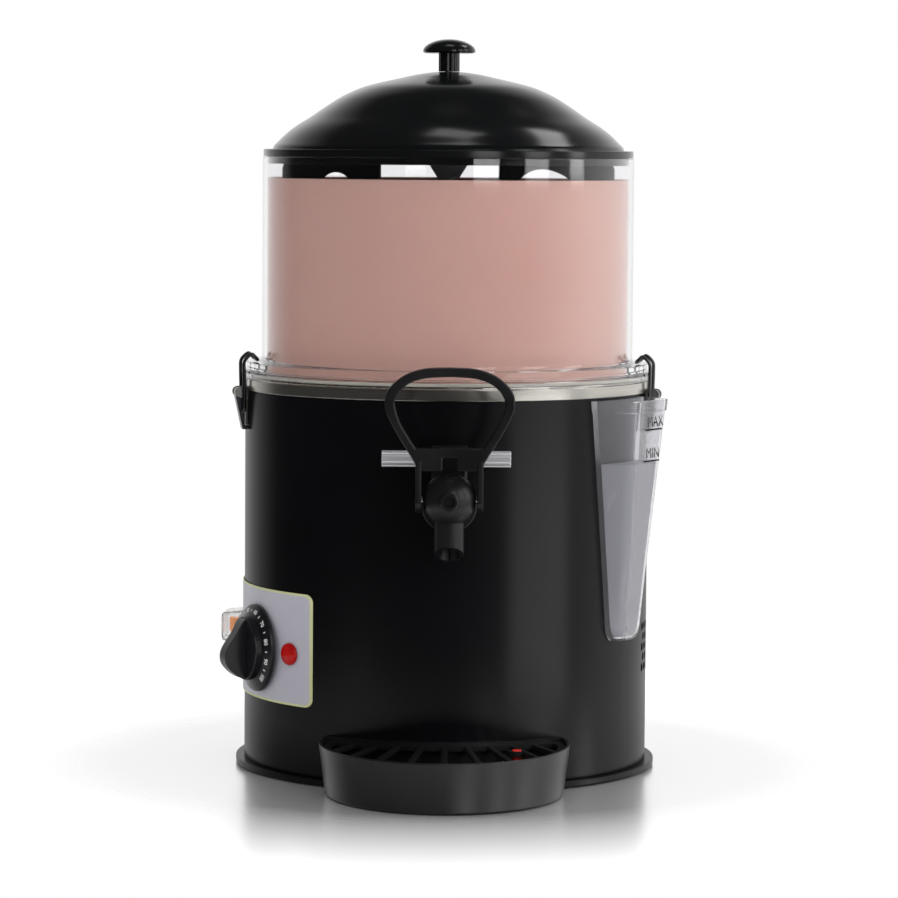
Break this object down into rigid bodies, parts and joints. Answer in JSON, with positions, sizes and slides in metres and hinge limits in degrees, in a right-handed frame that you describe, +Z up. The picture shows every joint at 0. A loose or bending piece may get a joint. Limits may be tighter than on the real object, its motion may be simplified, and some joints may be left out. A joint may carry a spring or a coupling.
{
  "type": "hot chocolate dispenser",
  "caption": "Heated drink dispenser: clear bowl with stirring paddle on a black round base, domed lid, lever tap, dial, switch, latches, fill cup and drip tray.",
  "frame": {"origin": "middle of the base pan, on the surface that the feet stand on", "axes": "+Z up along the machine's centre line, -Y towards the tap, +X to the right seen from the front"},
  "size_m": [0.2846, 0.3638, 0.4676],
  "materials": {
    "black_enamel": "smooth semi-gloss black enamel",
    "stainless": "brushed stainless sheet",
    "chrome": "bright chrome",
    "dark_spring_steel": "dark spring steel",
    "clear_bowl": "clear gloss plastic",
    "gloss_black": "gloss black moulding",
    "matt_black": "satin black moulding",
    "grey_plastic": "satin grey moulding",
    "silicone": "translucent silicone",
    "black_rubber": "soft black rubber",
    "silver_plate": "satin silver plate",
    "orange_plastic": "gloss orange, translucent",
    "red_plastic": "gloss red",
    "motor_grey": "grey painted casting",
    "white_plastic": "natural white moulding",
    "frosted_plastic": "frosted clear moulding"
  },
  "bodies": {
    "machine": {"base_pan": "black_enamel", "casing": "black_enamel", "bath_rim": "stainless", "bath_tank": "stainless", "product_pot": "stainless", "bath_heater": "stainless", "pot_gasket": "silicone", "bowl": "clear_bowl", "motor_bracket": "stainless", "gearmotor": "motor_grey", "gearbox": "motor_grey", "shaft_seal": "silicone", "tap_body": "matt_black", "tap_gasket": "silicone", "tap_nut": "stainless", "tap_cap": "matt_black", "tap_spring": "stainless", "tap_retainer_bar": "chrome", "control_plate": "silver_plate", "thermostat_body": "matt_black", "pilot_lamp_lens": "red_plastic", "pilot_lamp_holder": "white_plastic", "switch_housing": "white_plastic", "switch_cover": "frosted_plastic", "reservoir_cup": "frosted_plastic", "reservoir_fitting": "white_plastic", "cord_gland": "black_rubber", "terminal_block": "white_plastic", "foot_front_left": "black_rubber", "foot_front_right": "black_rubber", "foot_rear_right": "black_rubber", "foot_rear_left": "black_rubber", "latch_bracket_left": "stainless", "latch_bracket_right": "stainless"},
    "lid": {"lid": "gloss_black", "lid_knob": "gloss_black", "lid_knob_screw": "stainless"},
    "stirrer": {"drive_shaft": "stainless", "stirrer": "matt_black", "stirrer_cone_nut": "grey_plastic"},
    "tap_lever": {"tap_handle": "matt_black", "tap_cam_shaft": "stainless"},
    "tap_plunger": {"tap_plunger": "white_plastic", "tap_plunger_seal": "silicone"},
    "thermostat": {"thermostat_knob": "matt_black", "thermostat_stem": "stainless"},
    "switch_rocker": {"switch_rocker": "orange_plastic"},
    "latch_lever_left": {"latch_lever_left": "dark_spring_steel"},
    "latch_lever_right": {"latch_lever_right": "dark_spring_steel"},
    "latch_bail_left": {"latch_bail_left": "dark_spring_steel"},
    "latch_bail_right": {"latch_bail_right": "dark_spring_steel"},
    "drip_tray": {"drip_tray": "matt_black"},
    "drip_grille": {"drip_grille": "matt_black"},
    "drip_float": {"drip_float": "red_plastic"}
  },
  "joints": [
    {"name": "lid_lift", "type": "slide", "parent": "machine", "child": "lid", "axis": [0, 0, 1], "range_m": [0, 0.12]},
    {"name": "stirrer_spin", "type": "hinge", "parent": "machine", "child": "stirrer", "pos_m": [0, 0, 0.3], "axis": [0, 0, 1], "continuous": true},
    {"name": "tap_lever_tilt", "type": "hinge", "parent": "machine", "child": "tap_lever", "pos_m": [0.002, -0.165, 0.185], "axis": [1, 0, 0], "range_deg": [0, 51]},
    {"name": "tap_plunger_lift", "type": "slide", "parent": "machine", "child": "tap_plunger", "axis": [0, 0, 1], "range_m": [0, 0.005], "stiffness_N_per_m": 1000, "springref_m": -0.006, "deforming": ["tap_spring"]},
    {"name": "thermostat_turn", "type": "hinge", "parent": "machine", "child": "thermostat", "pos_m": [-0.12636, -0.06027, 0.0804], "axis": [-0.9026, -0.4305, 0], "range_deg": [0, 270]},
    {"name": "rocker_tilt", "type": "hinge", "parent": "machine", "child": "switch_rocker", "pos_m": [-0.12751, 0.01116, 0.0865], "axis": [0, 0, 1], "range_deg": [-24, 0]},
    {"name": "latch_lever_left_swing", "type": "hinge", "parent": "machine", "child": "latch_lever_left", "pos_m": [-0.13311, -0.02587, 0.241], "axis": [-0.1908, 0.9816, 0], "range_deg": [0, 150]},
    {"name": "latch_bail_left_swing", "type": "hinge", "parent": "latch_lever_left", "child": "latch_bail_left", "pos_m": [-0.13051, -0.02537, 0.229], "axis": [-0.1908, 0.9816, 0], "range_deg": [-150, 0]},
    {"name": "latch_lever_right_swing", "type": "hinge", "parent": "machine", "child": "latch_lever_right", "pos_m": [0.13311, -0.02587, 0.241], "axis": [-0.1908, -0.9816, 0], "range_deg": [0, 150]},
    {"name": "latch_bail_right_swing", "type": "hinge", "parent": "latch_lever_right", "child": "latch_bail_right", "pos_m": [0.13051, -0.02537, 0.229], "axis": [-0.1908, -0.9816, 0], "range_deg": [-150, 0]},
    {"name": "drip_tray_slide", "type": "slide", "parent": "machine", "child": "drip_tray", "axis": [0, -1, 0], "range_m": [0, 0.15]},
    {"name": "drip_grille_lift", "type": "slide", "parent": "drip_tray", "child": "drip_grille", "axis": [0, 0, 1], "range_m": [0, 0.05]},
    {"name": "drip_float_rise", "type": "slide", "parent": "drip_tray", "child": "drip_float", "axis": [0, 0, 1], "range_m": [0, 0.01]}
  ],
  "couplings": [
    {"joint": "tap_lever_tilt", "follows": "tap_plunger_lift", "rad_per_m": 174.53},
    {"joint": "latch_bail_left_swing", "follows": "latch_lever_left_swing", "ratio": -1},
    {"joint": "latch_bail_right_swing", "follows": "latch_lever_right_swing", "ratio": -1}
  ]
}
